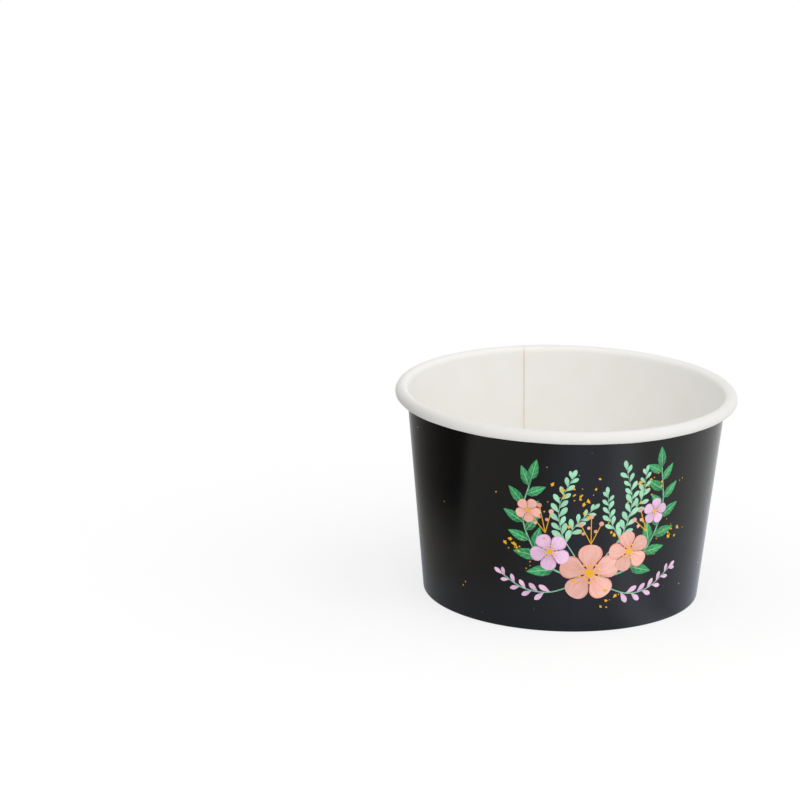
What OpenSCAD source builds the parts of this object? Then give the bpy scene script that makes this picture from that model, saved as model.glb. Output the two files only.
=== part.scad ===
// Paper dessert cup, rolled from two board blanks.
// The sidewall is one blank: a lapped cone with a rolled rim and a bottom edge folded in and up.
// The base disc is a second blank whose skirt is gripped in that fold, so it stands clear of the table.
// Z is up, the cup stands on z = 0 and its axis is the Z axis. The side seam lies on the +Y side.

/* [Cup] */
// Outer diameter over the rolled rim
rim_d = 95; // [88:0.5:110]
// Outer diameter of the wall where it would meet the table
base_d = 77; // [66:0.5:84]
// Height over the rolled rim
cup_h = 58.5; // [40:0.5:100]

/* [Board] */
// Thickness of the coated board of the sidewall
board_t = 0.4; // [0.3:0.05:0.6]
// Thickness of the coated board of the base disc
disc_t = 0.4; // [0.3:0.05:0.6]
// Film of sealed coating between two glued faces
seal_film = 0.03; // [0.02:0.01:0.06]

/* [Rolled rim] */
// Diameter of the roll, seen in section
curl_d = 3.6; // [3:0.1:5]
// Gap between the roll and the wall below it
curl_gap = 0.1; // [0.05:0.05:0.2]
// Angle by which the board's end is tucked up inside the roll
curl_tuck = 20; // [10:5:20]

/* [Side seam] */
// Width of the lap where the two ends of the sidewall blank are sealed together
lap_w = 10; // [6:0.5:14]
// How far the doubled roll at the seam hangs below the rest of the rim
seam_lip = 0.4; // [0.2:0.05:0.6]

/* [Base] */
// Height of the base disc's underside above the table
recess_h = 7.5; // [6:0.5:12]
// Inner radius of the bend between the disc and its skirt
bend_r = 0.4; // [0.2:0.1:1]
// Distance from that bend down to the cut edge of the folded board
fold_drop = 1; // [0.5:0.25:2]
// Gap between the skirt's cut edge and the doubled fold below it
skirt_gap = 0.2; // [0.1:0.1:1]

/* [Hidden] */
$fn = 96;

far = rim_d;                        // longer than any line that a cut needs
slot_w = disc_t + 2 * seal_film;    // room for the skirt between the wall and the folded edge
bend_z = recess_h - bend_r;         // height of the centre of the bend round the base disc
fold_h = bend_z - fold_drop;        // height of the folded edge above the table

// The wall's outer face runs from the base corner to the roll, and passes its centre
// one board's thickness closer than the roll's own skin does
curl_r = curl_d / 2;
to_curl = [(rim_d - base_d) / 2 - curl_r, cup_h - curl_r];
wall_a = atan2(to_curl[0], to_curl[1]) - asin((curl_r - board_t) / norm(to_curl));

// Where the board doubles, a larger roll keeps the rim level on top and hangs down as a lip.
// Its radius and the angles below are rounded to a hundredth, so that neighbouring parts meet exactly
lip_r = round(100 * curl_r + 50 * seam_lip + 25 * board_t * (1 - sin(wall_a))) / 100;

// Angles of the lap, and of the flat beside it along which the board closes on the cone
lap_a = round(100 * lap_w / ((base_d + rim_d) / 4) * 180 / PI) / 100;
flat_a = round(100 * acos(rim_d / (rim_d + 2 * board_t))) / 100;

// Radius of the wall's inner face at a height, and of the folded edge's outer face
function inner_face(z) = base_d / 2 - board_t / cos(wall_a) + z * tan(wall_a);
function fold_face(z) = inner_face(z) - slot_w / cos(wall_a);

// Wedge between two bearings, up to half a turn apart
module wedge(from, to) {
    polygon(concat([[0, 0]], [for (i = [0 : 4]) let (a = from + (to - from) * i / 4) far * [cos(a), sin(a)]]));
}

// Bent board: the part of a ring between two bearings
module bend(outer_r, thick, from, to) {
    intersection() {
        difference() {
            circle(r = outer_r);
            if (outer_r > thick) circle(r = outer_r - thick);
        }
        wedge(from, to);
    }
}

// Section frame that leans with the wall: X points out of the cup, Y runs up the board
module leaning(x, z) {
    translate([x, z]) rotate(-wall_a) children();
}

// Rolled rim in section: half a turn over the top, a tighter half turn under it and the tucked end
module curl(thick, over_r) {
    under_r = over_r - (thick + curl_gap) / 2;
    translate([over_r, 0]) bend(over_r, thick, 0, 180);
    translate([2 * over_r - under_r, 0]) {
        bend(under_r, thick, 180, 360);
        bend(under_r, thick, 180 - curl_tuck, 180);
    }
}

// Wall in section with the bend at its foot and the rolled rim at its top
module wall(thick, over_r) {
    wall_len = (cup_h - over_r * (1 - sin(wall_a)) - thick) / cos(wall_a);
    leaning(inner_face(thick), thick) {
        bend(thick, thick, wall_a - 90, 0);
        square([thick, wall_len]);
        translate([0, wall_len]) curl(thick, over_r);
    }
}

// Flat of the fold that stands on the table, in section
module foot(thick) {
    inner_x = fold_face(thick);
    outer_x = inner_face(thick);
    polygon([[inner_x, 0], [outer_x, 0], [outer_x, thick], [inner_x, thick]]);
}

// Folded edge in section, from the foot up the inner side of the skirt
module folded_edge(thick) {
    leaning(fold_face(thick), thick) {
        bend(thick, thick, 180, 270 + wall_a);
        translate([-thick, 0]) square([thick, (fold_h - thick) / cos(wall_a)]);
    }
}

// Turns a section about the cup's axis between two angles
module turned(from, to) {
    rotate_extrude(angle = to - from, start = from) children();
}

// Draws a section straight back from the XZ plane and trims it at an angle behind that plane
module drawn_back(trim) {
    intersection() {
        rotate([90, 0, 0]) linear_extrude(height = far) children();
        turned(-trim, trim) square(far);
    }
}

// Sidewall blank: the true cone, the flat that leads from it to the seam, and the lap itself.
// It is drawn with the edge of the true cone on the X axis, then turned until the lap is centred on +Y
module sidewall() {
    color("#232427") rotate(90 + lap_a / 2 + flat_a) {
        turned(0, 360 - flat_a - lap_a) {
            wall(board_t, curl_r);
            foot(board_t);
            folded_edge(board_t);
        }
        drawn_back(flat_a) {
            wall(board_t, curl_r);
            foot(board_t);
        }
        turned(-flat_a, 0) {
            foot(board_t);
            folded_edge(board_t);
        }
        turned(-flat_a - lap_a, -flat_a) {
            wall(2 * board_t, lip_r);
            foot(2 * board_t);
            folded_edge(2 * board_t);
        }
    }
}

// Base disc: flat across, and bent down all round into a skirt that lies against the wall.
// The skirt and the bend are cut by the same line, and the core of the board runs through both
module base_disc() {
    bend_x = inner_face(bend_z) - (seal_film + disc_t + bend_r) / cos(wall_a);
    skirt_len = (bend_z - 2 * board_t - skirt_gap) / cos(wall_a);
    color("#efeeea") rotate_extrude() {
        translate([0, recess_h]) square([bend_x, disc_t]);
        translate([bend_x, bend_z]) {
            bend(bend_r + disc_t, disc_t, -wall_a, 90);
            intersection() {
                rotate(-wall_a) translate([bend_r, -skirt_len]) square([disc_t, skirt_len + disc_t]);
                wedge(-180 - wall_a, -wall_a);
            }
            rotate(-wall_a) translate([bend_r + disc_t / 3, -disc_t]) square([disc_t / 3, 1.5 * disc_t]);
        }
    }
}

sidewall();
base_disc();
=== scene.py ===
import math
import random

import bpy
import numpy as np
from mathutils import Matrix, Vector


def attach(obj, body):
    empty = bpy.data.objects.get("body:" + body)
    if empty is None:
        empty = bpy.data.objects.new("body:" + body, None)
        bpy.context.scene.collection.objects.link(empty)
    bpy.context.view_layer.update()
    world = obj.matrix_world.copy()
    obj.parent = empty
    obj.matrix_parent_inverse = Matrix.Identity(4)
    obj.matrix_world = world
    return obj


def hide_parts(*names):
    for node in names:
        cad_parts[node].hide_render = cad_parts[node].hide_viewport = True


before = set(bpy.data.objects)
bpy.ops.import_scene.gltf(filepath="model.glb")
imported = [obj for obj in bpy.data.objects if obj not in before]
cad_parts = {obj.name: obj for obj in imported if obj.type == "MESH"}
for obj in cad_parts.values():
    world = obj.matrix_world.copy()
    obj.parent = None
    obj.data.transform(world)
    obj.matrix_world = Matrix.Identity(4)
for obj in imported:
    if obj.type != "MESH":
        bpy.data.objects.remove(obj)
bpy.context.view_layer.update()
mm = 0.001
sharpDeg = 35                   # edges that turn more than this are shaded sharp
print("frame loaded:", sorted(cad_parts))


def hexColor(code):
    # sRGB hex to linear
    parts = [int(code[i:i + 2], 16) / 255 for i in (1, 3, 5)]
    return tuple(c / 12.92 if c <= 0.04045 else ((c + 0.055) / 1.055) ** 2.4 for c in parts) + (1.0,)


def addNode(tree, kind, inputs=None, **settings):
    # an input is a plain value, a socket to link, or a node whose first output is linked
    node = tree.nodes.new(kind)
    for name, value in settings.items():
        setattr(node, name, value)
    for key, value in (inputs or {}).items():
        if isinstance(value, bpy.types.Node):
            value = value.outputs[0]
        if isinstance(value, bpy.types.NodeSocket):
            tree.links.new(value, node.inputs[key])
        else:
            node.inputs[key].default_value = value
    return node


def fillRamp(node, stops):
    ramp = node.color_ramp
    while len(ramp.elements) < len(stops):
        ramp.elements.new(0.5)
    for element, (place, color) in zip(ramp.elements, stops):
        element.position = place
        element.color = hexColor(color)
    return node


def emptyTree(owner):
    owner.use_nodes = True
    owner.node_tree.nodes.clear()
    return owner.node_tree


def newMaterial(name, roughness, ior=1.5):
    material = bpy.data.materials.new(name)
    tree = emptyTree(material)
    skin = addNode(tree, "ShaderNodeBsdfPrincipled", {"Roughness": roughness, "IOR": ior})
    addNode(tree, "ShaderNodeOutputMaterial", {"Surface": skin})
    return material, tree, skin


def newMesh(name, verts, faces=(), **columns):
    # each column gives every point a number under its own name
    mesh = bpy.data.meshes.new(name)
    mesh.from_pydata(verts, [], faces)
    for title, values in columns.items():
        mesh.attributes.new(title, "FLOAT", "POINT").data.foreach_set("value", values)
    mesh.update()
    return mesh


def shadeSmooth(mesh):
    mesh.polygons.foreach_set("use_smooth", [True] * len(mesh.polygons))
    mesh.set_sharp_from_angle(angle=math.radians(sharpDeg))


def addObject(name, data):
    obj = bpy.data.objects.new(name, data)
    bpy.context.scene.collection.objects.link(obj)
    return obj


def boardPiece(name, verts, faces, materials, faceMaterials):
    mesh = newMesh(name, verts, faces)
    for material in materials:
        mesh.materials.append(material)
    mesh.polygons.foreach_set("material_index", faceMaterials)
    shadeSmooth(mesh)
    mesh.update()
    return addObject(name, mesh)


# Offset print under gloss varnish on cup board: an even black with soft mirror reflections that waver
# with the fibres below, and a few pale pinholes
varnished = {
    "ground": "#0d0e11",        # black ink under the varnish
    "groundWarm": "#13110e",
    "pinhole": "#b9b5a6", "pinholeShow": 0.45,
    "cellMm": 2.6,              # the print is parted into cells, of which some hold a pinhole
    "cellsWithout": 0.86,       # share of the cells that hold none
    "pinholeCore": 0.03, "pinholeEdge": 0.045,      # its radius, as a share of the cell
    "fibreMm": 0.9,             # clumps of fibres, about three times as coarse as real ones, to show at all
    "fibreSpan": (0.3, 0.7), "roughness": (0.1, 0.19),
    "fibreDeepMm": 0.02,
    "waveMm": 14, "waveDeepMm": 0.12,               # slow waves of rolled board
}
printedBoard, tree, skin = newMaterial("varnishedCupBoard", 0.2, 1.4)
place = addNode(tree, "ShaderNodeTexCoord").outputs["Object"]
fibre = addNode(tree, "ShaderNodeTexNoise", {
    "Vector": place, "Scale": 1 / (varnished["fibreMm"] * mm), "Detail": 4.0, "Roughness": 0.6})
wave = addNode(tree, "ShaderNodeTexNoise", {
    "Vector": place, "Scale": 1 / (varnished["waveMm"] * mm), "Detail": 1.0})
tint = addNode(tree, "ShaderNodeMix", {
    0: wave, 6: hexColor(varnished["ground"]), 7: hexColor(varnished["groundWarm"])}, data_type="RGBA")
cell = addNode(tree, "ShaderNodeTexVoronoi", {"Vector": place, "Scale": 1 / (varnished["cellMm"] * mm)})
inHole = addNode(tree, "ShaderNodeMapRange", {
    "Value": cell.outputs["Distance"],
    "From Min": varnished["pinholeEdge"], "From Max": varnished["pinholeCore"]})
cellChance = addNode(tree, "ShaderNodeSeparateColor", {"Color": cell.outputs["Color"]})
picked = addNode(tree, "ShaderNodeMath", {
    0: cellChance, 1: varnished["cellsWithout"]}, operation="GREATER_THAN")
pinhole = addNode(tree, "ShaderNodeMath", {0: inHole, 1: picked}, operation="MULTIPLY")
faintHole = addNode(tree, "ShaderNodeMath", {
    0: pinhole, 1: varnished["pinholeShow"]}, operation="MULTIPLY")
specked = addNode(tree, "ShaderNodeMix", {
    0: faintHole, 6: tint.outputs[2], 7: hexColor(varnished["pinhole"])}, data_type="RGBA")
gloss = addNode(tree, "ShaderNodeMapRange", {
    "Value": fibre, "From Min": varnished["fibreSpan"][0], "From Max": varnished["fibreSpan"][1],
    "To Min": varnished["roughness"][0], "To Max": varnished["roughness"][1]})
waveBump = addNode(tree, "ShaderNodeBump", {
    "Height": wave, "Strength": 0.5, "Distance": varnished["waveDeepMm"] * mm})
fibreBump = addNode(tree, "ShaderNodeBump", {
    "Height": fibre, "Strength": 0.25, "Distance": varnished["fibreDeepMm"] * mm, "Normal": waveBump})
tree.links.new(specked.outputs[2], skin.inputs["Base Color"])
tree.links.new(gloss.outputs[0], skin.inputs["Roughness"])
tree.links.new(fibreBump.outputs[0], skin.inputs["Normal"])

# Cup board with a film of polyethylene on its inner side: warm white, satin, with the fibres just showing
# through, and painted shade over the roll, which makes it a shade greyer there
filmCoat = {
    "white": "#fbfaf8", "warm": "#f5f2e8",
    "cloudMm": 9, "cloudSpan": (0.35, 0.7), "cloudShow": (0.1, 0.4),    # where the white turns warm
    # painted shade: the colour the roll turns, and how much of it shows
    "rollShade": "#edece9", "rollShadeShow": 0.85,
    "rollShadeMm": (44.5, 45.8),  # distance from the cup's axis where the painted roll shade begins and is full
    "specular": 0.2,
    "fibreMm": 0.9,             # as coarse as under the varnish
    "fibreSpan": (0.3, 0.7), "roughness": (0.4, 0.55),
    "fibreDeepMm": 0.03,
}
coatedBoard, tree, skin = newMaterial("filmCoatedCupBoard", 0.45, 1.5)
skin.inputs["Specular IOR Level"].default_value = filmCoat["specular"]
place = addNode(tree, "ShaderNodeTexCoord").outputs["Object"]
fibre = addNode(tree, "ShaderNodeTexNoise", {
    "Vector": place, "Scale": 1 / (filmCoat["fibreMm"] * mm), "Detail": 5.0, "Roughness": 0.65})
cloud = addNode(tree, "ShaderNodeTexNoise", {
    "Vector": place, "Scale": 1 / (filmCoat["cloudMm"] * mm), "Detail": 3.0})
blotch = addNode(tree, "ShaderNodeMapRange", {
    "Value": cloud, "From Min": filmCoat["cloudSpan"][0], "From Max": filmCoat["cloudSpan"][1],
    "To Min": filmCoat["cloudShow"][0], "To Max": filmCoat["cloudShow"][1]})
tint = addNode(tree, "ShaderNodeMix", {
    0: blotch, 6: hexColor(filmCoat["white"]), 7: hexColor(filmCoat["warm"])}, data_type="RGBA")
flat = addNode(tree, "ShaderNodeVectorMath", {0: place, 1: (1, 1, 0)}, operation="MULTIPLY")
fromAxis = addNode(tree, "ShaderNodeVectorMath", {0: flat}, operation="LENGTH")
# painted shade over the roll, by distance from the cup's axis
rolled = addNode(tree, "ShaderNodeMapRange", {
    "Value": fromAxis.outputs["Value"], "From Min": filmCoat["rollShadeMm"][0] * mm,
    "From Max": filmCoat["rollShadeMm"][1] * mm, "To Max": filmCoat["rollShadeShow"]})
rollShade = addNode(tree, "ShaderNodeMix", {
    0: rolled, 6: tint.outputs[2], 7: hexColor(filmCoat["rollShade"])}, data_type="RGBA")
gloss = addNode(tree, "ShaderNodeMapRange", {
    "Value": fibre, "From Min": filmCoat["fibreSpan"][0], "From Max": filmCoat["fibreSpan"][1],
    "To Min": filmCoat["roughness"][0], "To Max": filmCoat["roughness"][1]})
fibreBump = addNode(tree, "ShaderNodeBump", {
    "Height": fibre, "Strength": 0.3, "Distance": filmCoat["fibreDeepMm"] * mm})
tree.links.new(rollShade.outputs[2], skin.inputs["Base Color"])
tree.links.new(gloss.outputs[0], skin.inputs["Roughness"])
tree.links.new(fibreBump.outputs[0], skin.inputs["Normal"])

# Die-cut edge of the board: matt cream fibres, bare and a little darker in places
dieCut = {"fibre": "#f1e8d9", "dark": "#ddcfb7", "fibreMm": 0.35, "fibreDeepMm": 0.05}
cutEdge, tree, skin = newMaterial("dieCutBoardEdge", 0.85, 1.45)
place = addNode(tree, "ShaderNodeTexCoord").outputs["Object"]
fibre = addNode(tree, "ShaderNodeTexNoise", {
    "Vector": place, "Scale": 1 / (dieCut["fibreMm"] * mm), "Detail": 4.0})
tint = addNode(tree, "ShaderNodeMix", {
    0: fibre, 6: hexColor(dieCut["fibre"]), 7: hexColor(dieCut["dark"])}, data_type="RGBA")
fibreBump = addNode(tree, "ShaderNodeBump", {
    "Height": fibre, "Strength": 0.5, "Distance": dieCut["fibreDeepMm"] * mm})
tree.links.new(tint.outputs[2], skin.inputs["Base Color"])
tree.links.new(fibreBump.outputs[0], skin.inputs["Normal"])
print("board materials made")


# Sizes in mm, angles in degrees; the first six lines are the same sizes as in the part's source
side = {
    "rimD": 95, "baseD": 77, "cupH": 58.5,
    "boardT": 0.4, "discT": 0.4, "film": 0.03,
    "curlD": 3.6, "curlGap": 0.1, "tuckDeg": 20,
    "lapMm": 10, "lipMm": 0.4,
    "recessH": 7.5, "bendR": 0.4,
    "foldDrop": 1, "skirtGap": 0.2,
    "stations": 540,            # around the cup
    "lapRows": 20, "flatRows": 11,      # across the lap, and along the flat that leads out of it
    "sliverDeg": 0.03,          # half the width over which the board starts and ends at the lap
    "leadDeg": 0.6,             # from there to the next row
    "foldRows": 6, "footRows": 5, "wallRows": 7,    # up the fold, around each bend at the foot, up the wall
    "overRows": 20, "underRows": 18, "tuckRows": 4,     # over the roll, under it, and up its tucked end
    "foldLead": 0.35, "wallLead": 0.5, "rollLead": 0.3,     # from the bends and the roll to the nearest row
    "swellFrom": -4, "swellDeg": 12,    # where the roll starts to swell for the doubled board, and over what
    "rollWaveMm": 0.05,         # how uneven the roll is, on its radius
    "rollShrink": 0.5,          # its middle level, as a share of that
    "rollWaves": [(7, 0.2, 1), (13, 0.18, 2.6), (29, 0.12, 0)],     # (waves around the cup, share, phase)
    "knurls": 135, "knurlMm": 0.11,
    "knurlFade": 0.4,           # how much of a knurl is left in the fold's lowest row
    "foldRadius": 0.08,         # inner radius of the folds at the foot
}

boardT = side["boardT"]
curlR = side["curlD"] / 2
toCurl = ((side["rimD"] - side["baseD"]) / 2 - curlR, side["cupH"] - curlR)
wallA = math.atan2(*toCurl) - math.asin((curlR - boardT) / math.hypot(*toCurl))
wallDeg = math.degrees(wallA)
sinA, cosA, tanA = math.sin(wallA), math.cos(wallA), math.tan(wallA)
lipR = round(100 * curlR + 50 * side["lipMm"] + 25 * boardT * (1 - sinA)) / 100
lapA = round(100 * math.degrees(side["lapMm"] / ((side["baseD"] + side["rimD"]) / 4))) / 100
flatA = round(100 * math.degrees(math.acos(side["rimD"] / (side["rimD"] + 2 * boardT)))) / 100
slotW = side["discT"] + 2 * side["film"]
bendZ = side["recessH"] - side["bendR"]
foldH = bendZ - side["foldDrop"]


def innerFace(z):
    return side["baseD"] / 2 - boardT / cosA + z * tanA


def foldFace(z):
    return innerFace(z) - slotW / cosA


def arcPoints(cx, cy, radius, fromDeg, toDeg, count):
    return [(cx + radius * math.cos(math.radians(a)), cy + radius * math.sin(math.radians(a)))
            for a in np.linspace(fromDeg, toDeg, count)]


def leaning(points, x, z):
    # section frame that leans with the wall
    return [(x + px * cosA + py * sinA, z - px * sinA + py * cosA) for px, py in points]


def boardSection(thick, overR):
    # the board's two faces in section, from the cut edge of the fold to the tucked end of the roll: the
    # coated face, the printed face, and how many points of each belong to the fold
    small = side["foldRadius"]
    wallLen = (side["cupH"] - overR * (1 - sinA) - thick) / cosA
    foldLen = (foldH - thick) / cosA
    underR = overR - (thick + side["curlGap"]) / 2
    under = 2 * overR - underR
    foldX, wallX = foldFace(thick), innerFace(thick)
    footRows, tuckTo = side["footRows"], -180 - side["tuckDeg"]
    foldSteps = np.linspace(foldLen, side["foldLead"], side["foldRows"])
    wallSteps = np.linspace(side["wallLead"], wallLen - side["rollLead"], side["wallRows"])
    coated = leaning([(0, y) for y in foldSteps], foldX, thick)
    coated += leaning(arcPoints(small, small, small, 180, 270 + wallDeg, footRows), foldX, thick)
    foldCount = len(coated)
    coated += leaning(arcPoints(-small, small, small, wallDeg - 90, 0, footRows), wallX, thick)
    coated += leaning([(0, y) for y in wallSteps], wallX, thick)
    printed = leaning([(-thick, y) for y in foldSteps], foldX, thick)
    printed += leaning(arcPoints(0, 0, thick, 180, 270 + wallDeg, footRows), foldX, thick)
    printed += leaning(arcPoints(0, 0, thick, wallDeg - 90, 0, footRows), wallX, thick)
    printed += leaning([(thick, y) for y in wallSteps], wallX, thick)
    for face, depth in ((coated, 0), (printed, thick)):
        turns = arcPoints(overR, wallLen, overR - depth, 180, 0, side["overRows"])
        turns += arcPoints(under, wallLen, underR - depth, 0, -180, side["underRows"])[1:]
        turns += arcPoints(under, wallLen, underR - depth, -180, tuckTo, side["tuckRows"])[1:]
        face += leaning(turns, wallX, thick)
    return np.array(coated), np.array(printed), foldCount


def smooth(t):
    t = min(1.0, max(0.0, t))
    return t * t * (3 - 2 * t)


lapFrom, lapTo, flatTo = 90 - lapA / 2, 90 + lapA / 2, 90 + lapA / 2 + flatA


def station(bearing):
    # (bearing, board thickness, roll radius, widening along the flat)
    thick = 2 * boardT if lapFrom < bearing < lapTo else boardT
    uneven = side["rollShrink"]
    for waves, share, phase in side["rollWaves"]:
        uneven += share * math.sin(waves * math.radians(bearing) + phase)
    rollR = curlR - side["rollWaveMm"] * uneven
    if bearing < lapTo:
        rollR += (lipR - rollR) * smooth((bearing - lapFrom - side["swellFrom"]) / side["swellDeg"])
    widen = 1.0
    if lapTo <= bearing < flatTo:
        widen = 1 / math.cos(math.radians(flatTo - bearing))
    return bearing, thick, rollR, widen


step = 360 / side["stations"]
bearings = [flatTo + i * step for i in range(int((lapFrom + 360 - flatTo) / step))]
bearings = [b - 360 if b > 270 else b for b in bearings]
for start, end, count in ((lapFrom, lapTo, side["lapRows"]), (lapTo, flatTo, side["flatRows"])):
    bearings += [start - side["sliverDeg"], start + side["sliverDeg"]]
    bearings += list(np.linspace(start + side["leadDeg"], end - side["leadDeg"], count))
rows = [station(b) for b in bearings]

verts = []
foldRows = side["foldRows"]
for bearing, thick, rollR, widen in rows:
    coated, printed, foldCount = boardSection(thick, rollR)
    coated[foldCount:, 0] *= widen
    printed[foldCount:, 0] *= widen
    # knurls pressed into the fold when it is sealed to the skirt
    press = side["knurlMm"] * (0.5 - 0.5 * math.cos(math.radians(bearing) * side["knurls"]))
    printed[1:foldRows - 1, 0] += press
    printed[foldRows - 1, 0] += press * side["knurlFade"]
    # along the flat, the doubled fold thins out to a single one
    if lapTo <= bearing < flatTo:
        printed[:foldRows, 0] -= boardT * (flatTo - bearing) / flatA
    c, s = math.cos(math.radians(bearing)), math.sin(math.radians(bearing))
    for r, z in np.vstack([coated, printed[::-1]]):
        verts.append((r * c * mm, r * s * mm, z * mm))
ring = len(verts) // len(rows)
faces, faceMaterials = [], []
coatedFace, printedFace, cutFace = 0, 1, 2      # places in the piece's list of materials
for i in range(len(rows)):
    j = (i + 1) % len(rows)
    # the lap's outer board ends on the printed side, its inner one on the coated side
    outerEnd, innerEnd = rows[i][1] < rows[j][1], rows[i][1] > rows[j][1]
    for k in range(ring):
        n = (k + 1) % ring
        faces.append((i * ring + k, i * ring + n, j * ring + n, j * ring + k))
        inside = k < ring // 2
        if n in (0, ring // 2) or (innerEnd if inside else outerEnd):
            faceMaterials.append(cutFace)
        else:
            faceMaterials.append(coatedFace if inside else printedFace)
sidewall = boardPiece("rolledSidewall", verts, faces, [coatedBoard, printedBoard, cutEdge], faceMaterials)
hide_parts("sidewall")
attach(sidewall, "root")
print("sidewall made:", len(faces), "faces")


base = {
    "rings": 14,                # across the flat
    "bendRows": 8,
    "stations": 240,
    "dishMm": 0.125,            # how far the flat has sunk at its middle
}

bendX = innerFace(bendZ) - (side["film"] + side["discT"] + side["bendR"]) / cosA
skirtLen = (bendZ - 2 * boardT - side["skirtGap"]) / cosA
topZ, underZ = side["recessH"] + side["discT"], side["recessH"]
outerR, innerR = side["bendR"] + side["discT"], side["bendR"]
topFace, underFace = [], []
for x in np.linspace(0, bendX, base["rings"])[1:-1]:
    sink = base["dishMm"] * (1 - (x / bendX) ** 2)
    topFace.append((x, topZ - sink))
    underFace.append((x, underZ - sink))
for face, radius in ((topFace, outerR), (underFace, innerR)):
    face += leaning(arcPoints(0, 0, radius, 90 + wallDeg, 0, base["bendRows"]), bendX, bendZ)
    face += leaning([(radius, -skirtLen * 0.5), (radius, -skirtLen)], bendX, bendZ)
section = topFace + underFace[::-1]
verts, faces, faceMaterials = [], [], []
coatedFace, cutFace = 0, 1      # places in the piece's list of materials
for i in range(base["stations"]):
    a = 2 * math.pi * i / base["stations"]
    verts += [(r * math.cos(a) * mm, r * math.sin(a) * mm, z * mm) for r, z in section]
ring = len(section)
for i in range(base["stations"]):
    j = (i + 1) % base["stations"]
    for k in range(ring - 1):
        faces.append((i * ring + k + 1, j * ring + k + 1, j * ring + k, i * ring + k))
        faceMaterials.append(cutFace if k == len(topFace) - 1 else coatedFace)
top, bottom = len(verts), len(verts) + 1
verts += [(0, 0, (topZ - base["dishMm"]) * mm), (0, 0, (underZ - base["dishMm"]) * mm)]
for i in range(base["stations"]):
    j = (i + 1) % base["stations"]
    faces += [(top, i * ring, j * ring), (bottom, j * ring + ring - 1, i * ring + ring - 1)]
    faceMaterials += [coatedFace, coatedFace]
baseDisc = boardPiece("baseDisc", verts, faces, [coatedBoard, cutEdge], faceMaterials)
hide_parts("base_disc")
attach(baseDisc, "root")
print("base disc made:", len(faces), "faces")


# Everything printed is laid out on the flat blank, in mm to the right of the print's centre line and up
# from the foot, and a Geometry Nodes tree wraps it on the cone
design = {
    "centreDeg": -90,
    "seed": 7,
    "rootMm": 0.02,             # how deep the ink reaches into the board
    "liftMm": {"stem": 0.02, "emerald": 0.035, "mint": 0.05, "bud": 0.062, "petal": 0.075, "gold": 0.118},
    "curveSteps": 24,           # between two points of a stem
    "stemStep": 0.3,            # dots that draw a stem
    "stemMm": {"emerald": 0.6, "mint": 0.34}, "stemTaper": 0.4,
    "sprigs": [                 # (points of the stem, bare mm, pitch mm, leaf mm, lean of a leaf, ink)
        ([(-1, 16), (-9, 18.5), (-15, 25), (-18, 34), (-16, 44)], 7, 5.4, 7.8, 46, "emerald"),
        ([(2, 16), (11, 17.5), (18, 24), (22, 34), (21, 46)], 7, 5.4, 7.8, 46, "emerald"),
        ([(-3, 22), (-7, 29), (-8, 37), (-5, 45)], 5, 2.6, 3.7, 38, "mint"),
        ([(5, 22), (10, 29), (12, 38), (10, 47)], 5, 2.6, 3.7, 38, "mint"),
        ([(-6, 27), (-3, 32), (1, 36)], 2, 2.4, 3.2, 38, "mint"),
        ([(9, 27), (6, 33), (5, 40)], 2, 2.4, 3.2, 38, "mint"),
        ([(11, 33), (15, 38), (16, 45)], 2, 2.4, 3.2, 38, "mint"),
    ],
    "leafGrow": (1.08, 0.38),   # the lowest leaf's size, and what is gone of it at the tip
    "leafVary": (0.9, 1.08), "leafTurnDeg": 8,      # chance in the size and the lean of a leaf
    "leafTierMm": 0.003, "leafTiers": 4, "tipTierMm": 0.012,    # leaves that overlap lie at unlike heights
    "tipLeaf": 0.8,
    "budSprigs": [              # (points of the stem, bare mm, pitch mm, bud mm)
        ([(-3, 14), (-10, 11.5), (-17, 12), (-23, 15)], 6, 3.4, 3.6),
        ([(4, 14), (12, 10.5), (19, 11), (26, 15)], 6, 3.4, 3.6),
    ],
    "budStemMm": 0.4, "budGrow": (1.15, 0.5), "budLeanDeg": 40, "tipBud": 0.8,
    "blossoms": [               # (x, y, petal mm, turn, ink)
        (1.0, 17.5, 7.6, 18, "coral"), (-10.0, 23.5, 4.9, 50, "lilac"), (12.0, 23.0, 5.4, 30, "coral"),
        (19.5, 33.5, 3.4, 10, "lilac"), (-16.5, 35.0, 3.2, 62, "coral"),
    ],
    "petals": 5, "petalOff": 0.1, "petalTierMm": 0.007,
    "stamens": 10, "stamenReach": (0.28, 0.37), "stamenDot": 0.1, "eye": 0.34,  # shares of a petal
    "berrySprays": [            # (x, y, direction, length mm)
        (-11.5, 29, 104, 8), (17, 28, 108, 7), (1, 26, 92, 8),
    ],
    "sprayFanDeg": (-26, 0, 26), "sprayAside": 0.8,     # the branches, and the length of the outer two
    "sprayStep": 0.2, "sprayDot": 0.26,
    "tipBerry": 1.35, "tipTier": 0.01,
    "midBerry": 0.95, "midTier": 0.005, "midShare": 0.6, "midTurn": 0.14,       # its turn is in radians
    "fleckClouds": [            # (x, y, spread mm, number)
        (-3, 40, 4, 22), (17, 42, 4, 16), (-20, 24, 3, 12), (26, 26, 3, 14), (6, 9, 3, 10), (0, 30, 26, 34),
    ],
    "cloudSpread": (0.55, 0.4), "fleckHeights": (3, 52), "fleckMm": [0.3, 0.4, 0.5, 0.75, 1.1],
    "strays": 26,               # gold flecks round the cup, far aside up to 15 mm higher than on the blank
    "strayAside": 110, "strayHeights": (5, 50), "strayMm": [0.3, 0.45, 0.6],
}

# Each is (dark, mid, pale, veins along a shape, how much its rib and its strokes show). With close to no
# veins, the first one covers the whole shape, rib and all, and pales it evenly
inks = {
    "mint": ("#3aa56f", "#86dfab", "#c9f5da", 0.01, 0.25, 0.25),
    "emerald": ("#08602f", "#149a4e", "#8fdcae", 8, 0.85, 0.3),
    "coral": ("#e0563f", "#ff9d8a", "#ffd6c8", 0.01, 0.2, 0.75),
    "lilac": ("#b85bab", "#f2b0e3", "#fde0f6", 0.01, 0.2, 0.7),
}

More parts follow.
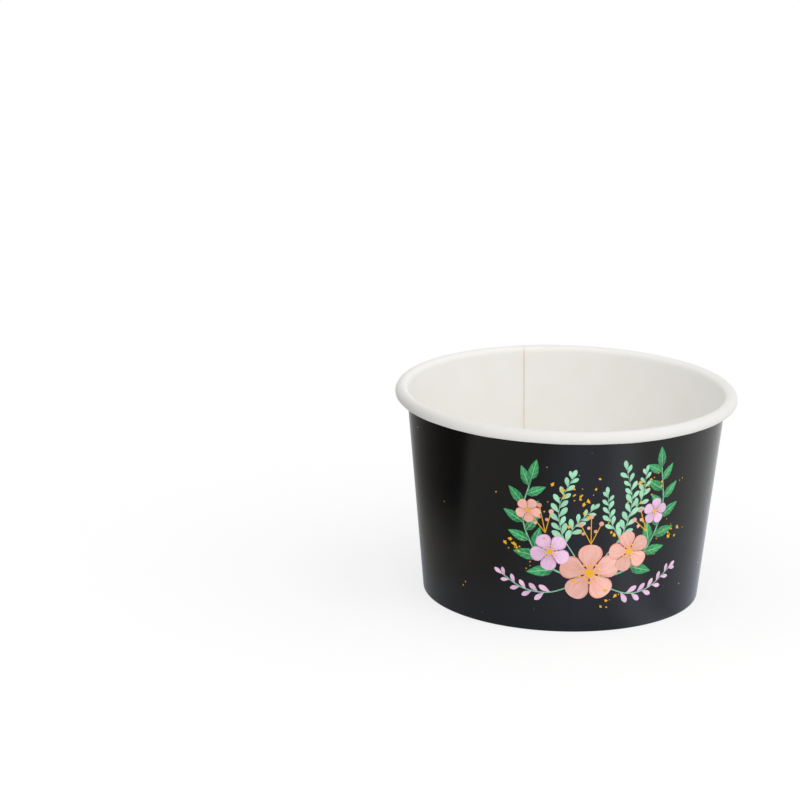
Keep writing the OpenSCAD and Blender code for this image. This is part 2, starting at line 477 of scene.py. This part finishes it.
brush = {
    "deepShare": 0.55,          # of a shape's length, over which the dark of its stalk end goes
    "rib": (0.12, 0.05), "vein": (0.2, 0.05),       # where a line starts to show, and where it is full
    "veinLean": -0.22, "veinShow": 0.45,
    "strokes": (5.0, 1.6),      # across and along a shape
    "shuffle": 40.0,            # sets the strokes of one shape apart from the next one's
    "strokeSpan": (0.42, 0.68),
    "outline": 0.8, "outlineShow": 0.4,
    "tones": (0.88, 1.08),
}


def inkMaterial(name, dark, mid, pale, veins, ribShow, strokeShow):
    # Offset ink under the same gloss varnish as the ground: a painted colour that deepens towards the stalk,
    # with the strokes of a brush less than a millimetre wide and, where it has veins, fine paler lines
    material, tree, skin = newMaterial(name, 0.22, 1.47)
    along, across, tone = (
        addNode(tree, "ShaderNodeAttribute", attribute_name=title).outputs["Fac"]
        for title in ("along", "across", "tone"))
    body = fillRamp(addNode(tree, "ShaderNodeValToRGB", {0: along}),
                    [(0.0, dark), (brush["deepShare"], mid), (1.0, mid)])
    aside = addNode(tree, "ShaderNodeMath", {0: across}, operation="ABSOLUTE")
    rib = addNode(tree, "ShaderNodeMapRange", {
        "Value": aside, "From Min": brush["rib"][0], "From Max": brush["rib"][1], "To Max": ribShow})
    lean = addNode(tree, "ShaderNodeMath", {
        0: aside, 1: brush["veinLean"], 2: along}, operation="MULTIPLY_ADD")
    bars = addNode(tree, "ShaderNodeMath", {0: lean, 1: veins}, operation="MULTIPLY")
    wrap = addNode(tree, "ShaderNodeMath", {0: bars, 1: 1.0}, operation="PINGPONG")
    vein = addNode(tree, "ShaderNodeMapRange", {
        "Value": wrap, "From Min": brush["vein"][0], "From Max": brush["vein"][1],
        "To Max": brush["veinShow"]})
    lines = addNode(tree, "ShaderNodeMath", {0: rib, 1: vein}, operation="MAXIMUM")
    strokeX = addNode(tree, "ShaderNodeMath", {0: across, 1: brush["strokes"][0]}, operation="MULTIPLY")
    strokeY = addNode(tree, "ShaderNodeMath", {0: along, 1: brush["strokes"][1]}, operation="MULTIPLY")
    strokeZ = addNode(tree, "ShaderNodeMath", {0: tone, 1: brush["shuffle"]}, operation="MULTIPLY")
    strokeAt = addNode(tree, "ShaderNodeCombineXYZ", {0: strokeX, 1: strokeY, 2: strokeZ})
    stroke = addNode(tree, "ShaderNodeTexNoise", {"Vector": strokeAt, "Scale": 1.0, "Detail": 2.0})
    strokes = addNode(tree, "ShaderNodeMapRange", {
        "Value": stroke, "From Min": brush["strokeSpan"][0], "From Max": brush["strokeSpan"][1],
        "To Max": strokeShow})
    brushed = addNode(tree, "ShaderNodeMix", {0: strokes, 6: body, 7: hexColor(pale)}, data_type="RGBA")
    drawn = addNode(tree, "ShaderNodeMix", {
        0: lines, 6: brushed.outputs[2], 7: hexColor(pale)}, data_type="RGBA")
    outline = addNode(tree, "ShaderNodeMapRange", {
        "Value": aside, "From Min": brush["outline"], "To Max": brush["outlineShow"]})
    edged = addNode(tree, "ShaderNodeMix", {
        0: outline, 6: drawn.outputs[2], 7: hexColor(dark)}, data_type="RGBA")
    shift = addNode(tree, "ShaderNodeMapRange", {
        "Value": tone, "To Min": brush["tones"][0], "To Max": brush["tones"][1]})
    shade = addNode(tree, "ShaderNodeHueSaturation", {"Color": edged.outputs[2], "Value": shift})
    tree.links.new(shade.outputs[0], skin.inputs["Base Color"])
    return material


printInk = {name: inkMaterial("varnishedInk" + name.capitalize(), *look) for name, look in inks.items()}

# Gold ink under the varnish: a warm yellow in two close tones, with only a slight glint of metal
gold = {"bright": "#ffcb1f", "deep": "#f9ab14", "flakeMm": 0.4, "metallic": 0.15}
goldInk, tree, skin = newMaterial("goldFlakeInk", 0.34)
skin.inputs["Metallic"].default_value = gold["metallic"]
place = addNode(tree, "ShaderNodeTexCoord").outputs["Object"]
flake = addNode(tree, "ShaderNodeTexNoise", {
    "Vector": place, "Scale": 1 / (gold["flakeMm"] * mm), "Detail": 2.0})
tint = addNode(tree, "ShaderNodeMix", {
    0: flake, 6: hexColor(gold["bright"]), 7: hexColor(gold["deep"])}, data_type="RGBA")
tree.links.new(tint.outputs[2], skin.inputs["Base Color"])


def thinShape(name, outline, rows, columns):
    # closed thin shape of unit length along +X, one unit deep below its face; outline(t) gives the half width
    verts, along, across = [], [], []
    for depth in (0.0, -1.0):
        for t in np.sin(np.linspace(0, math.pi / 2, rows)):
            for c in np.linspace(-1, 1, columns):
                verts.append((t, c * outline(t), depth))
                along.append(t)
                across.append(c)
    faces = []
    low = rows * columns
    for i in range(rows - 1):
        a, b = i * columns, (i + 1) * columns
        for k in range(columns - 1):
            faces.append((a + k, b + k, b + k + 1, a + k + 1))
            faces.append((low + a + k, low + a + k + 1, low + b + k + 1, low + b + k))
        faces.append((a, low + a, low + b, b))
        faces.append((a + columns - 1, b + columns - 1, low + b + columns - 1, low + a + columns - 1))
    last = (rows - 1) * columns
    for k in range(columns - 1):
        faces.append((k, k + 1, low + k + 1, low + k))
        faces.append((last + k, low + last + k, low + last + k + 1, last + k + 1))
    return bpy.data.objects.new(name, newMesh(name, verts, faces, along=along, across=across))


def discShape(name, radii):
    sides = len(radii)
    verts = [(r * math.cos(2 * math.pi * i / sides), r * math.sin(2 * math.pi * i / sides), z)
             for z in (0.0, -1.0) for i, r in enumerate(radii)]
    faces = [tuple(range(sides)), tuple(range(2 * sides - 1, sides - 1, -1))]
    faces += [(i, sides + i, sides + (i + 1) % sides, (i + 1) % sides) for i in range(sides)]
    return bpy.data.objects.new(name, newMesh(name, verts, faces))


def leafHalf(t):
    # pointed at both ends
    return 0.012 + 0.24 * math.sin(math.pi * t ** 0.85) ** 0.9 * (1 - 0.25 * t)


def dropHalf(t):
    # slim at the stalk, round towards the tip
    return 0.02 + 0.2 * math.sin(math.pi * min(1, t ** 1.5 * 0.97)) ** 0.8


def petalHalf(t):
    # widens up to its shoulder and closes in a round end
    shoulder = 0.6
    close = max(0, (t - shoulder) / (1 - shoulder)) ** 2.6
    return (0.09 + 0.35 * smooth(t / shoulder)) * math.sqrt(max(0.0004, 1 - close))


leafShape = thinShape("leafShape", leafHalf, 8, 3)
dropShape = thinShape("dropShape", dropHalf, 8, 3)
petalShape = thinShape("petalShape", petalHalf, 13, 5)
dotShape = discShape("dotShape", [0.5] * 12)
fleckShape = discShape("fleckShape", [0.62, 0.4, 0.5, 0.33, 0.66, 0.45, 0.3, 0.52, 0.38])

# Tree that puts a shape on each point of the flat blank and wraps the lot on the cone
wrapTree = bpy.data.node_groups.new("printOnCone", "GeometryNodeTree")
sockets = {}
for title, kind in (("Geometry", "Geometry"), ("Shape", "Object"), ("Foot Radius", "Float"),
                    ("Wall Angle", "Float"), ("Centre Angle", "Float"), ("Seed", "Int"), ("Ink", "Material")):
    socket = wrapTree.interface.new_socket(name=title, in_out="INPUT", socket_type="NodeSocket" + kind)
    sockets[title] = socket.identifier
wrapTree.interface.new_socket(name="Geometry", in_out="OUTPUT", socket_type="NodeSocketGeometry")
entry = addNode(wrapTree, "NodeGroupInput").outputs
shape = addNode(wrapTree, "GeometryNodeObjectInfo", {"Object": entry["Shape"]})
turn, size, depth = (
    addNode(wrapTree, "GeometryNodeInputNamedAttribute", {"Name": title}, data_type="FLOAT")
    for title in ("turn", "size", "depth"))
spin = addNode(wrapTree, "ShaderNodeCombineXYZ", {2: turn})
scale = addNode(wrapTree, "ShaderNodeCombineXYZ", {0: size, 1: size, 2: depth})
stamped = addNode(wrapTree, "GeometryNodeInstanceOnPoints", {
    "Points": entry["Geometry"], "Instance": shape.outputs["Geometry"], "Rotation": spin, "Scale": scale})
chance = addNode(wrapTree, "FunctionNodeRandomValue", {"Seed": entry["Seed"]}, data_type="FLOAT")
toned = addNode(wrapTree, "GeometryNodeStoreNamedAttribute", {
    "Geometry": stamped, "Name": "tone", "Value": chance.outputs[1]}, data_type="FLOAT", domain="INSTANCE")
real = addNode(wrapTree, "GeometryNodeRealizeInstances", {"Geometry": toned})
here = addNode(wrapTree, "GeometryNodeInputPosition")
part = addNode(wrapTree, "ShaderNodeSeparateXYZ", {0: here}).outputs
sine = addNode(wrapTree, "ShaderNodeMath", {0: entry["Wall Angle"]}, operation="SINE")
cosine = addNode(wrapTree, "ShaderNodeMath", {0: entry["Wall Angle"]}, operation="COSINE")
# on the blank, a point's distance and angle from the cone's tip
footRay = addNode(wrapTree, "ShaderNodeMath", {0: entry["Foot Radius"], 1: sine}, operation="DIVIDE")
up = addNode(wrapTree, "ShaderNodeMath", {0: part[1], 1: footRay}, operation="ADD")
flatPlace = addNode(wrapTree, "ShaderNodeCombineXYZ", {0: part[0], 1: up})
ray = addNode(wrapTree, "ShaderNodeVectorMath", {0: flatPlace}, operation="LENGTH").outputs["Value"]
flatAngle = addNode(wrapTree, "ShaderNodeMath", {0: part[0], 1: up}, operation="ARCTAN2")
# on the cup, its bearing, its distance from the axis and its height
turned = addNode(wrapTree, "ShaderNodeMath", {0: flatAngle, 1: sine}, operation="DIVIDE")
bearing = addNode(wrapTree, "ShaderNodeMath", {0: turned, 1: entry["Centre Angle"]}, operation="ADD")
raised = addNode(wrapTree, "ShaderNodeMath", {0: part[2], 1: cosine}, operation="MULTIPLY")
radius = addNode(wrapTree, "ShaderNodeMath", {0: ray, 1: sine, 2: raised}, operation="MULTIPLY_ADD")
slope = addNode(wrapTree, "ShaderNodeMath", {0: ray, 1: footRay}, operation="SUBTRACT")
climb = addNode(wrapTree, "ShaderNodeMath", {0: slope, 1: cosine}, operation="MULTIPLY")
dip = addNode(wrapTree, "ShaderNodeMath", {0: part[2], 1: sine}, operation="MULTIPLY")
height = addNode(wrapTree, "ShaderNodeMath", {0: climb, 1: dip}, operation="SUBTRACT")
cosB = addNode(wrapTree, "ShaderNodeMath", {0: bearing}, operation="COSINE")
sinB = addNode(wrapTree, "ShaderNodeMath", {0: bearing}, operation="SINE")
outX = addNode(wrapTree, "ShaderNodeMath", {0: radius, 1: cosB}, operation="MULTIPLY")
outY = addNode(wrapTree, "ShaderNodeMath", {0: radius, 1: sinB}, operation="MULTIPLY")
onCone = addNode(wrapTree, "ShaderNodeCombineXYZ", {0: outX, 1: outY, 2: height})
moved = addNode(wrapTree, "GeometryNodeSetPosition", {"Geometry": real, "Position": onCone})
inked = addNode(wrapTree, "GeometryNodeSetMaterial", {"Geometry": moved, "Material": entry["Ink"]})
addNode(wrapTree, "NodeGroupOutput", {0: inked})


def printPoints(name, shapeObject, points, ink):
    # points are (x, y, turn in degrees, size in mm, lift in mm) on the flat blank
    carrier = addObject(name + "Points", newMesh(
        name, [(p[0] * mm, p[1] * mm, p[4] * mm) for p in points],
        turn=[math.radians(p[2]) for p in points], size=[p[3] * mm for p in points],
        depth=[(p[4] + design["rootMm"]) * mm for p in points]))
    modifier = carrier.modifiers.new("print", "NODES")
    modifier.node_group = wrapTree
    values = {"Shape": shapeObject, "Foot Radius": side["baseD"] / 2 * mm, "Wall Angle": wallA,
              "Centre Angle": math.radians(design["centreDeg"]), "Seed": design["seed"], "Ink": ink}
    for title, value in values.items():
        modifier[sockets[title]] = value
    graph = bpy.context.evaluated_depsgraph_get()
    result = bpy.data.meshes.new_from_object(
        carrier.evaluated_get(graph), preserve_all_data_layers=True, depsgraph=graph)
    result.name = name
    shadeSmooth(result)
    bpy.data.objects.remove(carrier)
    piece = addObject(name, result)
    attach(piece, "root")
    return piece


def curvePoints(corners, pitch):
    # evenly spaced (x, y, direction) along a smooth line through the corners
    corners = np.array(corners, float)
    ends = np.vstack([2 * corners[0] - corners[1], corners, 2 * corners[-1] - corners[-2]])
    line = []
    for i in range(1, len(ends) - 2):
        p0, p1, p2, p3 = ends[i - 1:i + 3]
        bend, twist = 2 * p0 - 5 * p1 + 4 * p2 - p3, 3 * p1 - p0 - 3 * p2 + p3
        for t in np.linspace(0, 1, design["curveSteps"], endpoint=False):
            line.append(0.5 * (2 * p1 + (p2 - p0) * t + bend * t ** 2 + twist * t ** 3))
    line = np.array(line + [corners[-1]])
    gaps = np.hypot(*np.diff(line, axis=0).T)
    run = np.concatenate([[0], np.cumsum(gaps)])
    places = np.arange(0, run[-1], pitch)
    xs, ys = np.interp(places, run, line[:, 0]), np.interp(places, run, line[:, 1])
    turns = np.degrees(np.arctan2(np.gradient(ys), np.gradient(xs)))
    return list(zip(xs, ys, turns))


def ahead(x, y, reach, angle):
    return x + reach * math.cos(angle), y + reach * math.sin(angle)


dice = random.Random(design["seed"])
lift = design["liftMm"]
leafPoints = {"mint": [], "emerald": []}
stemPoints = {"mint": [], "emerald": []}
for corners, bare, pitch, leafMm, leanDeg, ink in design["sprigs"]:
    stem = curvePoints(corners, design["stemStep"])
    for i, (x, y, d) in enumerate(stem):
        thick = design["stemMm"][ink] * (1 - design["stemTaper"] * i / len(stem))
        stemPoints[ink].append((x, y, d, thick, lift["stem"]))
    marks = curvePoints(corners, pitch / 2)
    for i, (x, y, d) in enumerate(marks):
        if i * pitch / 2 < bare:
            continue
        grow = design["leafGrow"][0] - design["leafGrow"][1] * (i / len(marks))
        leafSize = leafMm * grow * dice.uniform(*design["leafVary"])
        chanceTurn = dice.uniform(-design["leafTurnDeg"], design["leafTurnDeg"])
        turnTo = d + (leanDeg if i % 2 else -leanDeg) + chanceTurn
        tier = design["leafTierMm"] * (i % design["leafTiers"])
        leafPoints[ink].append((x, y, turnTo, leafSize, lift[ink] + tier))
    x, y, d = stem[-1]
    leafPoints[ink].append((x, y, d, leafMm * design["tipLeaf"], lift[ink] + design["tipTierMm"]))

budPoints = []
for corners, bare, pitch, budMm in design["budSprigs"]:
    stem = curvePoints(corners, design["stemStep"])
    stemPoints["emerald"] += [(x, y, d, design["budStemMm"], lift["stem"]) for x, y, d in stem]
    marks = curvePoints(corners, pitch / 2)
    for i, (x, y, d) in enumerate(marks):
        if i * pitch / 2 >= bare:
            away = d + (design["budLeanDeg"] if i % 2 else -design["budLeanDeg"])
            grow = design["budGrow"][0] - design["budGrow"][1] * i / len(marks)
            budPoints.append((x, y, away, budMm * grow, lift["bud"]))
    budPoints.append((*stem[-1], budMm * design["tipBud"], lift["bud"]))

petalPoints = {"coral": [], "lilac": []}
goldPoints = []
for x, y, petalMm, turnDeg, ink in design["blossoms"]:
    for k in range(design["petals"]):
        petalDeg = turnDeg + 360 / design["petals"] * k
        at = ahead(x, y, design["petalOff"] * petalMm, math.radians(petalDeg))
        petalPoints[ink].append((*at, petalDeg, petalMm, lift["petal"] + design["petalTierMm"] * k))
    for k in range(design["stamens"]):
        stamenDeg = turnDeg + 360 / design["stamens"] * k
        at = ahead(x, y, petalMm * design["stamenReach"][k % 2], math.radians(stamenDeg))
        goldPoints.append((*at, 0, design["stamenDot"] * petalMm, lift["gold"]))
    goldPoints.append((x, y, 0, design["eye"] * petalMm, lift["gold"]))

berryPoints = []
for x, y, direction, length in design["berrySprays"]:
    for branch in design["sprayFanDeg"]:
        d = math.radians(direction + branch)
        reach = length * (design["sprayAside"] if branch else 1.0)
        for k in range(1 if branch else 0, int(reach / design["sprayStep"])):
            at = ahead(x, y, design["sprayStep"] * k, d)
            goldPoints.append((*at, 0, design["sprayDot"], lift["bud"]))
        tip = ahead(x, y, reach, d)
        middle = ahead(x, y, design["midShare"] * reach, d + design["midTurn"])
        berryPoints.append((*tip, 0, design["tipBerry"], lift["bud"] + design["tipTier"]))
        berryPoints.append((*middle, 0, design["midBerry"], lift["bud"] + design["midTier"]))

fleckPoints = []
lowest, highest = design["fleckHeights"]
for x, y, spread, number in design["fleckClouds"]:
    for k in range(number):
        fleckX = dice.gauss(x, spread * design["cloudSpread"][0])
        fleckY = dice.gauss(y, spread * design["cloudSpread"][1])
        if lowest < fleckY < highest:
            turnDeg = dice.uniform(0, 360)
            fleckPoints.append((fleckX, fleckY, turnDeg, dice.choice(design["fleckMm"]), lift["gold"]))
for k in range(design["strays"]):
    strayX = dice.uniform(-design["strayAside"], design["strayAside"])
    strayY = dice.uniform(*design["strayHeights"])
    turnDeg = dice.uniform(0, 360)
    fleckPoints.append((strayX, strayY, turnDeg, dice.choice(design["strayMm"]), lift["stem"]))

printPoints("mintStems", dotShape, stemPoints["mint"], printInk["mint"])
printPoints("emeraldStems", dotShape, stemPoints["emerald"], printInk["emerald"])
printPoints("emeraldLeaves", leafShape, leafPoints["emerald"], printInk["emerald"])
printPoints("mintLeaves", dropShape, leafPoints["mint"], printInk["mint"])
printPoints("lilacBuds", dropShape, budPoints, printInk["lilac"])
printPoints("coralPetals", petalShape, petalPoints["coral"], printInk["coral"])
printPoints("lilacPetals", petalShape, petalPoints["lilac"], printInk["lilac"])
printPoints("berries", dotShape, berryPoints, printInk["coral"])
printPoints("goldDots", dotShape, goldPoints, goldInk)
printPoints("goldFlecks", fleckShape, fleckPoints, goldInk)
for helper in (leafShape, dropShape, petalShape, dotShape, fleckShape):
    bpy.data.objects.remove(helper)


# Places in m
studio = {
    "ambient": 0.6, "skyLean": (0.08, -0.16, 0.26),     # sky light: its middle level, and where it grows to
    "lamps": [                  # (name, place, width, watts, tint)
        ("keyRight", (0.4, -0.62, 0.78), 0.6, 1.35, "#fffdfa"),
        ("topFront", (0.15, -0.35, 1.0), 0.7, 1.0, "#ffffff"),
    ],
    "lampAim": (0, 0, 0.03),
    "floorHalf": 4, "paper": "#ebebeb",
    "bounceGlow": 0.12,         # what the floor adds of its own to the light on the cup
    "floorGrey": 0.3, "floorGlow": 0.735,   # what the camera sees: the floor's shade and its own white
    "whiteFrom": 0.12, "whiteTo": 0.34,     # distance from the cup over which it turns plain white
    "mirror": [(0.21, "#a09f9c"), (0.42, "#d2dbf2"), (0.8, "#d2d3d4")],     # what the varnish sees of it: the lit floor, with painted tints of its reflection
    "mirrorX": (-0.11, 0.15),   # left and right ends of those colours
    # glow of the floor that only the varnish sees: painted reflection
    "mirrorGlow": 0.36,
    "sheenDeg": -60, "sheenWideDeg": 18, "sheenGlow": 1.2,  # a glowing streak on the floor that only the varnish sees: a painted pale reflection on the wall, in front to the right
}


def seenRays(tree):
    # 1 for rays of the camera, of a gloss or through glass, 0 for those that only gather light
    rays = addNode(tree, "ShaderNodeLightPath").outputs
    seen = addNode(tree, "ShaderNodeMath", {
        0: rays["Is Camera Ray"], 1: rays["Is Glossy Ray"]}, operation="MAXIMUM")
    return addNode(tree, "ShaderNodeMath", {0: seen, 1: rays["Is Transmission Ray"]}, operation="MAXIMUM")


# White paper sweep. The camera sees it nearly white with the cup's soft shadow; the varnish sees it tinted
# and glowing, with the streak, as painted reflection, and both see plain white further away
floorPaper = bpy.data.materials.new("whiteFloorPaper")
tree = emptyTree(floorPaper)
place = addNode(tree, "ShaderNodeTexCoord").outputs["Object"]
axes = addNode(tree, "ShaderNodeSeparateXYZ", {0: place}).outputs
away = addNode(tree, "ShaderNodeVectorMath", {0: place}, operation="LENGTH")
far = addNode(tree, "ShaderNodeMapRange", {
    "Value": away.outputs["Value"], "From Min": studio["whiteFrom"], "From Max": studio["whiteTo"]},
    interpolation_type="SMOOTHSTEP")
paper = addNode(tree, "ShaderNodeBsdfDiffuse", {"Color": hexColor(studio["paper"])})
bounce = addNode(tree, "ShaderNodeEmission", {"Strength": studio["bounceGlow"]})
plain = addNode(tree, "ShaderNodeAddShader", {0: paper, 1: bounce})
faint = addNode(tree, "ShaderNodeBsdfDiffuse", {"Color": (studio["floorGrey"],) * 3 + (1,)})
glow = addNode(tree, "ShaderNodeEmission", {"Strength": studio["floorGlow"]})
lit = addNode(tree, "ShaderNodeAddShader", {0: faint, 1: glow})
white = addNode(tree, "ShaderNodeEmission", {"Strength": 1.0})
across = addNode(tree, "ShaderNodeMapRange", {
    "Value": axes[0], "From Min": studio["mirrorX"][0], "From Max": studio["mirrorX"][1]})
cool = fillRamp(addNode(tree, "ShaderNodeValToRGB", {0: across}), studio["mirror"])
coolPaper = addNode(tree, "ShaderNodeBsdfDiffuse", {"Color": cool})
floorBearing = addNode(tree, "ShaderNodeMath", {0: axes[1], 1: axes[0]}, operation="ARCTAN2")
offStreak = addNode(tree, "ShaderNodeMath", {
    0: floorBearing, 1: math.radians(studio["sheenDeg"])}, operation="SUBTRACT")
fromStreak = addNode(tree, "ShaderNodeMath", {0: offStreak}, operation="ABSOLUTE")
streak = addNode(tree, "ShaderNodeMapRange", {
    "Value": fromStreak, "From Min": math.radians(studio["sheenWideDeg"]), "From Max": 0.0,
    "To Min": studio["mirrorGlow"], "To Max": studio["sheenGlow"]}, interpolation_type="SMOOTHSTEP")
# the floor's glow that only the varnish sees: painted reflection on the wall
coolGlow = addNode(tree, "ShaderNodeEmission", {"Color": cool, "Strength": streak})
mirrored = addNode(tree, "ShaderNodeAddShader", {0: coolPaper, 1: coolGlow})
rays = addNode(tree, "ShaderNodeLightPath").outputs
near = addNode(tree, "ShaderNodeMixShader", {0: rays["Is Camera Ray"], 1: mirrored, 2: lit})
spread = addNode(tree, "ShaderNodeMixShader", {0: far, 1: near, 2: white})
seenMix = addNode(tree, "ShaderNodeMixShader", {0: seenRays(tree), 1: plain, 2: spread})
addNode(tree, "ShaderNodeOutputMaterial", {"Surface": seenMix})

half = studio["floorHalf"]
floor = addObject("studioFloor", newMesh(
    "studioFloor", [(-half, -half, 0), (half, -half, 0), (half, half, 0), (-half, half, 0)], [(0, 1, 2, 3)]))
floor.data.materials.append(floorPaper)

# White all round where it is seen, and a sky that is brighter above and in front where it lights the cup
world = bpy.data.worlds.new("studio")
bpy.context.scene.world = world
tree = emptyTree(world)
direction = addNode(tree, "ShaderNodeTexCoord").outputs["Object"]
leant = addNode(tree, "ShaderNodeVectorMath", {
    0: direction, 1: studio["skyLean"]}, operation="DOT_PRODUCT")
sky = addNode(tree, "ShaderNodeMath", {
    0: leant.outputs["Value"], 1: studio["ambient"]}, operation="ADD")
level = addNode(tree, "ShaderNodeMix", {0: seenRays(tree), 2: sky, 3: 1.0})
backing = addNode(tree, "ShaderNodeBackground", {"Color": (1, 1, 1, 1), "Strength": level})
addNode(tree, "ShaderNodeOutputWorld", {"Surface": backing})

for name, spot, width, watts, tintCode in studio["lamps"]:
    lamp = bpy.data.lights.new(name, "AREA")
    lamp.shape = "RECTANGLE"
    lamp.size = lamp.size_y = width
    lamp.energy = watts
    lamp.color = hexColor(tintCode)[:3]
    softbox = addObject(name, lamp)
    softbox.location = spot
    aim = Vector(studio["lampAim"]) - Vector(spot)
    softbox.rotation_euler = aim.to_track_quat("-Z", "Y").to_euler()

# Dark card along the cup's left side, hidden from the camera: a painted dark reflection in its varnish, and
# painted shade that dims the roll's left end a little. Its front edge leans back towards the foot and is
# soft, like its foot edge; towards the back it thins out
card = {
    "paper": "#46392c",
    "frontY": -0.07, "backY": 0.045,
    "footX": -0.047, "footZ": 0.0005, "topX": -0.069, "topZ": 0.09,
    "lean": 0.4, "frontEdge": (-0.021, -0.011),
    "backEdge": (0.03, -0.02), "backShow": (0.3, 0.95),
    "footEdge": (0.002, 0.03),
    "dullShow": 0.36,           # how much of the card the dull surfaces see
}
cardPaper = bpy.data.materials.new("blackCardPaper")
tree = emptyTree(cardPaper)
place = addNode(tree, "ShaderNodeTexCoord").outputs["Object"]
axes = addNode(tree, "ShaderNodeSeparateXYZ", {0: place}).outputs
leant = addNode(tree, "ShaderNodeMath", {
    0: axes[2], 1: card["lean"], 2: axes[1]}, operation="MULTIPLY_ADD")
frontEdge = addNode(tree, "ShaderNodeMapRange", {
    "Value": leant, "From Min": card["frontEdge"][0], "From Max": card["frontEdge"][1]},
    interpolation_type="SMOOTHSTEP")
backEdge = addNode(tree, "ShaderNodeMapRange", {
    "Value": axes[1], "From Min": card["backEdge"][0], "From Max": card["backEdge"][1],
    "To Min": card["backShow"][0], "To Max": card["backShow"][1]})
footEdge = addNode(tree, "ShaderNodeMapRange", {
    "Value": axes[2], "From Min": card["footEdge"][0], "From Max": card["footEdge"][1]},
    interpolation_type="SMOOTHSTEP")
sides = addNode(tree, "ShaderNodeMath", {0: frontEdge, 1: backEdge}, operation="MULTIPLY")
soft = addNode(tree, "ShaderNodeMath", {0: sides, 1: footEdge}, operation="MULTIPLY")
rays = addNode(tree, "ShaderNodeLightPath").outputs
dim = addNode(tree, "ShaderNodeMapRange", {"Value": rays["Is Glossy Ray"], "To Min": card["dullShow"]})
shown = addNode(tree, "ShaderNodeMath", {0: soft, 1: dim}, operation="MULTIPLY")
clear = addNode(tree, "ShaderNodeBsdfTransparent")
dark = addNode(tree, "ShaderNodeBsdfDiffuse", {"Color": hexColor(card["paper"])})
seenCard = addNode(tree, "ShaderNodeMixShader", {0: shown, 1: clear, 2: dark})
addNode(tree, "ShaderNodeOutputMaterial", {"Surface": seenCard})

corners = [(card["footX"], card["frontY"], card["footZ"]), (card["footX"], card["backY"], card["footZ"]),
           (card["topX"], card["backY"], card["topZ"]), (card["topX"], card["frontY"], card["topZ"])]
flag = addObject("blackCard", newMesh("blackCard", corners, [(0, 1, 2, 3)]))
flag.data.materials.append(cardPaper)
# the camera never sees the card, only its painted reflection and painted shade
flag.visible_camera = flag.visible_transmission = False

# The camera's place is in mm from the foot's centre, before it is turned around the cup
view = {
    "lensMm": 153.06, "sensorMm": 36,
    "yawDeg": -3.083, "pitchDeg": 15.53, "rollDeg": 1.0945,
    "place": (2.96, -912.5, 307.0), "orbitDeg": -10,
    "nearM": 0.01, "farM": 20,
}
yaw, pitch, roll = (math.radians(view[k]) for k in ("yawDeg", "pitchDeg", "rollDeg"))
forward = Vector((math.sin(yaw) * math.cos(pitch), math.cos(yaw) * math.cos(pitch), -math.sin(pitch)))
right = Vector((math.cos(yaw), -math.sin(yaw), 0))
above = right.cross(forward)
rightR = right * math.cos(roll) + above * math.sin(roll)
aboveR = above * math.cos(roll) - right * math.sin(roll)
stand = Matrix((rightR, aboveR, -forward)).transposed().to_4x4()
stand.translation = Vector(view["place"]) * mm
camera = addObject("camera", bpy.data.cameras.new("camera"))
camera.data.lens = view["lensMm"]
camera.data.sensor_width = view["sensorMm"]
camera.data.clip_start, camera.data.clip_end = view["nearM"], view["farM"]
camera.matrix_world = Matrix.Rotation(math.radians(view["orbitDeg"]), 4, "Z") @ stand
bpy.context.scene.camera = camera
bpy.context.scene.view_settings.view_transform = "Standard"

bpy.context.view_layer.update()
print("studio made")
